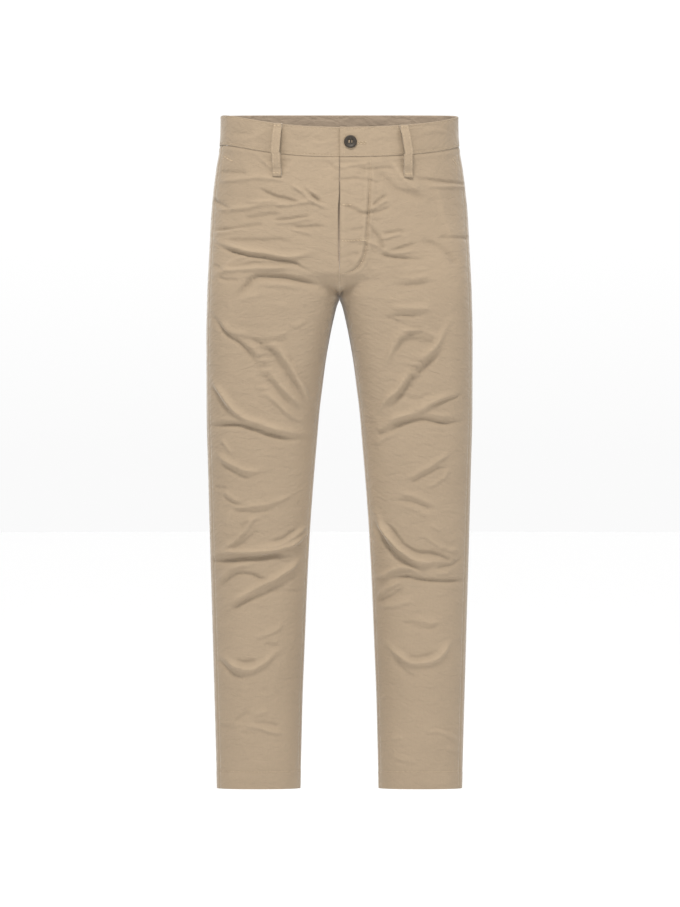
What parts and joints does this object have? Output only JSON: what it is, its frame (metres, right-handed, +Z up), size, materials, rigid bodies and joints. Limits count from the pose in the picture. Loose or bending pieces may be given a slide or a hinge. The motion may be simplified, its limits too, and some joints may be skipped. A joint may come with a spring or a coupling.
{
  "type": "chino trousers",
  "caption": "Straight-leg cotton chino trousers in worn shape: waistband with belt loops, buttoned fly laps left over right, side pockets in the seams, turned-up stitched hems.",
  "frame": {"origin": "centre of the waist opening, level with the waistband's top edge at the two sides", "axes": "+Z up the body, -Y out of the front with the fly, +X to the wearer's left"},
  "size_m": [0.4102, 0.2486, 1.0542],
  "materials": {
    "cotton_twill": "matt washed twill",
    "twill_inside": "matt twill, wrong side",
    "button_resin": "satin"
  },
  "bodies": {
    "root": {"front_left": "cotton_twill", "front_right": "cotton_twill", "back_left": "cotton_twill", "back_right": "cotton_twill", "waistband_left": "cotton_twill", "waistband_right": "cotton_twill", "fly_underlap": "twill_inside", "belt_loop_front_left": "cotton_twill", "belt_loop_front_right": "cotton_twill", "belt_loop_back_left": "cotton_twill", "belt_loop_back_right": "cotton_twill", "belt_loop_back_centre": "cotton_twill", "waist_button": "button_resin"}
  },
  "joints": []
}
